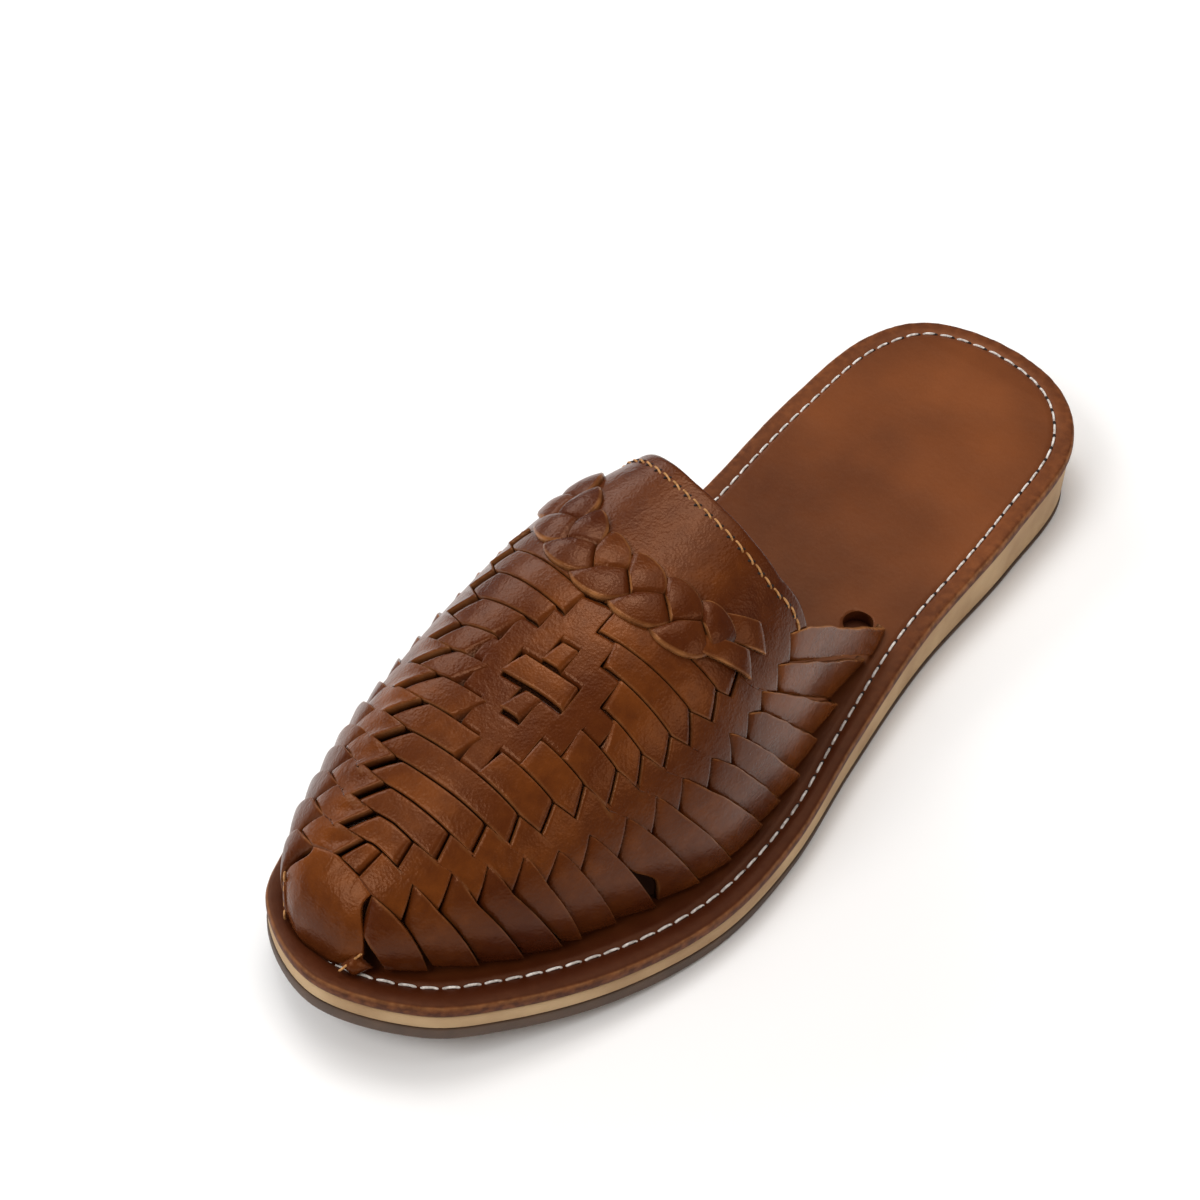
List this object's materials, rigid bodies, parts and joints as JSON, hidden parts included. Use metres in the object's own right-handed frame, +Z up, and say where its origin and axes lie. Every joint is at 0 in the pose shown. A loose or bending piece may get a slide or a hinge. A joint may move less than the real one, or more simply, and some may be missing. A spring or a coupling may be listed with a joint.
{
  "type": "woven leather huarache mule",
  "caption": "Left huarache mule: woven leather upper with toe tab, braid and smooth collar, on a leather insole over a wedge sole.",
  "frame": {"origin": "on the floor under the middle of the sole's outline", "axes": "+X from heel to toe, +Y to the wearer's left, which is the outer side, +Z up"},
  "size_m": [0.29, 0.101, 0.0787],
  "materials": {
    "outsole_rubber": "matt",
    "midsole_foam": "matt",
    "insole_leather": "satin",
    "upper_leather": "glossy"
  },
  "bodies": {
    "root": {"outsole": "outsole_rubber", "midsole": "midsole_foam", "insole": "insole_leather", "upper": "upper_leather", "braid": "upper_leather"}
  },
  "joints": []
}
